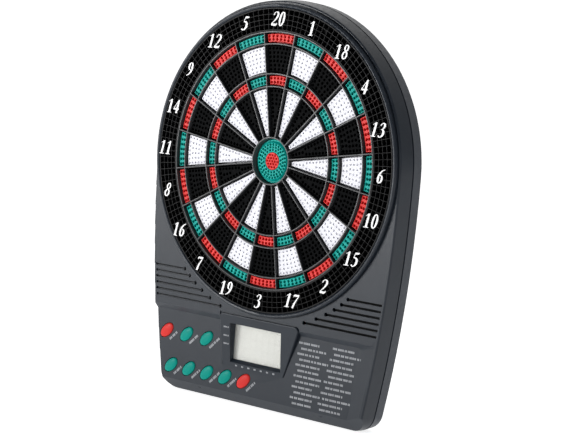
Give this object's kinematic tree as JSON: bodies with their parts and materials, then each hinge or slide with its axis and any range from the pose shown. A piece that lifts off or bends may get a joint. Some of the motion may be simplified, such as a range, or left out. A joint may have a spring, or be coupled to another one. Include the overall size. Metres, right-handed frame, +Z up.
{
  "type": "electronic dartboard",
  "caption": "Wall-hung electronic dartboard for soft-tip darts: perforated sprung segments in a wire grid, number ring, arched housing, panel with buttons and a small display.",
  "frame": {"origin": "on the flat back plane, straight behind the centre of the bull", "axes": "+Z up as the board hangs, +Y into the wall, +X to the right of someone facing the board; the playing face looks along -Y"},
  "size_m": [0.296, 0.035, 0.38],
  "materials": {
    "housing_plastic": "fine satin texture, charcoal grey",
    "rear_plastic": "fine satin texture, charcoal grey",
    "black_plastic": "satin moulded",
    "spider_plastic": "satin moulded, dark grey",
    "black_segment": "satin moulded, perforated",
    "white_segment": "satin moulded, perforated",
    "red_segment": "satin moulded, perforated",
    "green_segment": "satin moulded, perforated",
    "numeral_ink": "pad-printed white",
    "legend_ink": "pad-printed pale grey",
    "red_button": "semi-gloss moulded",
    "green_button": "semi-gloss moulded",
    "cell_jacket": "printed sleeve, plain",
    "spring_steel": "nickel plated",
    "screw_steel": "zinc plated, dark",
    "black_rubber": "matt sheet",
    "grey_rubber": "moulded silicone",
    "clear_film": "polyester film with carbon tracks",
    "backing_board": "hardboard",
    "circuit_board": "solder resist",
    "black_resin": "potting compound",
    "can_aluminium": "bare",
    "white_plastic": "moulded",
    "lead_red": "PVC sleeve",
    "lead_black": "PVC sleeve",
    "display_glass": "reflective liquid crystal cell, pale",
    "clear_lens": "polished acrylic"
  },
  "bodies": {
    "root": {"front_housing": "housing_plastic", "rear_housing": "rear_plastic", "number_ring": "black_plastic", "spider": "spider_plastic", "batteries": "cell_jacket", "battery_springs": "spring_steel", "battery_contacts": "spring_steel", "rubber_mat": "black_rubber", "film_front": "clear_film", "film_spacer": "clear_film", "film_rear": "clear_film", "backing_plate": "backing_board", "button_pad": "grey_rubber", "display_lens": "clear_lens", "display_glass": "display_glass", "display_frame": "black_plastic", "contact_strips": "grey_rubber", "main_board": "circuit_board", "controller_chip": "black_resin", "capacitors": "can_aluminium", "tail_connector": "white_plastic", "speaker": "spring_steel", "battery_leads": "lead_red", "speaker_leads": "lead_black", "housing_screws": "screw_steel", "plate_screws": "screw_steel", "board_screws": "screw_steel"},
    "wedge_20": {"segments_20": "black_segment"},
    "wedge_1": {"segments_1": "white_segment"},
    "wedge_18": {"segments_18": "black_segment"},
    "wedge_4": {"segments_4": "white_segment"},
    "wedge_13": {"segments_13": "black_segment"},
    "wedge_6": {"segments_6": "white_segment"},
    "wedge_10": {"segments_10": "black_segment"},
    "wedge_15": {"segments_15": "white_segment"},
    "wedge_2": {"segments_2": "black_segment"},
    "wedge_17": {"segments_17": "white_segment"},
    "wedge_3": {"segments_3": "black_segment"},
    "wedge_19": {"segments_19": "white_segment"},
    "wedge_7": {"segments_7": "black_segment"},
    "wedge_16": {"segments_16": "white_segment"},
    "wedge_8": {"segments_8": "black_segment"},
    "wedge_11": {"segments_11": "white_segment"},
    "wedge_14": {"segments_14": "black_segment"},
    "wedge_9": {"segments_9": "white_segment"},
    "wedge_12": {"segments_12": "black_segment"},
    "wedge_5": {"segments_5": "white_segment"},
    "outer_bull": {"bull_outer": "green_segment"},
    "inner_bull": {"bull_inner": "red_segment"},
    "button_upper_1": {"button_upper_1": "red_button"},
    "button_upper_2": {"button_upper_2": "green_button"},
    "button_upper_3": {"button_upper_3": "green_button"},
    "button_lower_1": {"button_lower_1": "green_button"},
    "button_lower_2": {"button_lower_2": "green_button"},
    "button_lower_3": {"button_lower_3": "green_button"},
    "button_lower_4": {"button_lower_4": "green_button"},
    "button_lower_5": {"button_lower_5": "red_button"},
    "battery_cover": {"battery_door": "rear_plastic"}
  },
  "joints": [
    {"name": "press_20", "type": "slide", "parent": "root", "child": "wedge_20", "axis": [0, 1, 0], "range_m": [0, 0.001], "stiffness_N_per_m": 900, "springref_m": -0.0003},
    {"name": "press_1", "type": "slide", "parent": "root", "child": "wedge_1", "axis": [0, 1, 0], "range_m": [0, 0.001], "stiffness_N_per_m": 900, "springref_m": -0.0003},
    {"name": "press_18", "type": "slide", "parent": "root", "child": "wedge_18", "axis": [0, 1, 0], "range_m": [0, 0.001], "stiffness_N_per_m": 900, "springref_m": -0.0003},
    {"name": "press_4", "type": "slide", "parent": "root", "child": "wedge_4", "axis": [0, 1, 0], "range_m": [0, 0.001], "stiffness_N_per_m": 900, "springref_m": -0.0003},
    {"name": "press_13", "type": "slide", "parent": "root", "child": "wedge_13", "axis": [0, 1, 0], "range_m": [0, 0.001], "stiffness_N_per_m": 900, "springref_m": -0.0003},
    {"name": "press_6", "type": "slide", "parent": "root", "child": "wedge_6", "axis": [0, 1, 0], "range_m": [0, 0.001], "stiffness_N_per_m": 900, "springref_m": -0.0003},
    {"name": "press_10", "type": "slide", "parent": "root", "child": "wedge_10", "axis": [0, 1, 0], "range_m": [0, 0.001], "stiffness_N_per_m": 900, "springref_m": -0.0003},
    {"name": "press_15", "type": "slide", "parent": "root", "child": "wedge_15", "axis": [0, 1, 0], "range_m": [0, 0.001], "stiffness_N_per_m": 900, "springref_m": -0.0003},
    {"name": "press_2", "type": "slide", "parent": "root", "child": "wedge_2", "axis": [0, 1, 0], "range_m": [0, 0.001], "stiffness_N_per_m": 900, "springref_m": -0.0003},
    {"name": "press_17", "type": "slide", "parent": "root", "child": "wedge_17", "axis": [0, 1, 0], "range_m": [0, 0.001], "stiffness_N_per_m": 900, "springref_m": -0.0003},
    {"name": "press_3", "type": "slide", "parent": "root", "child": "wedge_3", "axis": [0, 1, 0], "range_m": [0, 0.001], "stiffness_N_per_m": 900, "springref_m": -0.0003},
    {"name": "press_19", "type": "slide", "parent": "root", "child": "wedge_19", "axis": [0, 1, 0], "range_m": [0, 0.001], "stiffness_N_per_m": 900, "springref_m": -0.0003},
    {"name": "press_7", "type": "slide", "parent": "root", "child": "wedge_7", "axis": [0, 1, 0], "range_m": [0, 0.001], "stiffness_N_per_m": 900, "springref_m": -0.0003},
    {"name": "press_16", "type": "slide", "parent": "root", "child": "wedge_16", "axis": [0, 1, 0], "range_m": [0, 0.001], "stiffness_N_per_m": 900, "springref_m": -0.0003},
    {"name": "press_8", "type": "slide", "parent": "root", "child": "wedge_8", "axis": [0, 1, 0], "range_m": [0, 0.001], "stiffness_N_per_m": 900, "springref_m": -0.0003},
    {"name": "press_11", "type": "slide", "parent": "root", "child": "wedge_11", "axis": [0, 1, 0], "range_m": [0, 0.001], "stiffness_N_per_m": 900, "springref_m": -0.0003},
    {"name": "press_14", "type": "slide", "parent": "root", "child": "wedge_14", "axis": [0, 1, 0], "range_m": [0, 0.001], "stiffness_N_per_m": 900, "springref_m": -0.0003},
    {"name": "press_9", "type": "slide", "parent": "root", "child": "wedge_9", "axis": [0, 1, 0], "range_m": [0, 0.001], "stiffness_N_per_m": 900, "springref_m": -0.0003},
    {"name": "press_12", "type": "slide", "parent": "root", "child": "wedge_12", "axis": [0, 1, 0], "range_m": [0, 0.001], "stiffness_N_per_m": 900, "springref_m": -0.0003},
    {"name": "press_5", "type": "slide", "parent": "root", "child": "wedge_5", "axis": [0, 1, 0], "range_m": [0, 0.001], "stiffness_N_per_m": 900, "springref_m": -0.0003},
    {"name": "press_outer_bull", "type": "slide", "parent": "root", "child": "outer_bull", "axis": [0, 1, 0], "range_m": [0, 0.001], "stiffness_N_per_m": 600, "springref_m": -0.0003},
    {"name": "press_inner_bull", "type": "slide", "parent": "root", "child": "inner_bull", "axis": [0, 1, 0], "range_m": [0, 0.001], "stiffness_N_per_m": 600, "springref_m": -0.0003},
    {"name": "push_upper_1", "type": "slide", "parent": "root", "child": "button_upper_1", "axis": [0, 1, 0], "range_m": [0, 0.0012], "stiffness_N_per_m": 400, "springref_m": -0.0005},
    {"name": "push_upper_2", "type": "slide", "parent": "root", "child": "button_upper_2", "axis": [0, 1, 0], "range_m": [0, 0.0012], "stiffness_N_per_m": 400, "springref_m": -0.0005},
    {"name": "push_upper_3", "type": "slide", "parent": "root", "child": "button_upper_3", "axis": [0, 1, 0], "range_m": [0, 0.0012], "stiffness_N_per_m": 400, "springref_m": -0.0005},
    {"name": "push_lower_1", "type": "slide", "parent": "root", "child": "button_lower_1", "axis": [0, 1, 0], "range_m": [0, 0.0012], "stiffness_N_per_m": 400, "springref_m": -0.0005},
    {"name": "push_lower_2", "type": "slide", "parent": "root", "child": "button_lower_2", "axis": [0, 1, 0], "range_m": [0, 0.0012], "stiffness_N_per_m": 400, "springref_m": -0.0005},
    {"name": "push_lower_3", "type": "slide", "parent": "root", "child": "button_lower_3", "axis": [0, 1, 0], "range_m": [0, 0.0012], "stiffness_N_per_m": 400, "springref_m": -0.0005},
    {"name": "push_lower_4", "type": "slide", "parent": "root", "child": "button_lower_4", "axis": [0, 1, 0], "range_m": [0, 0.0012], "stiffness_N_per_m": 400, "springref_m": -0.0005},
    {"name": "push_lower_5", "type": "slide", "parent": "root", "child": "button_lower_5", "axis": [0, 1, 0], "range_m": [0, 0.0012], "stiffness_N_per_m": 400, "springref_m": -0.0005},
    {"name": "battery_door_off", "type": "slide", "parent": "root", "child": "battery_cover", "axis": [0, 1, 0], "range_m": [0, 0.02]}
  ]
}
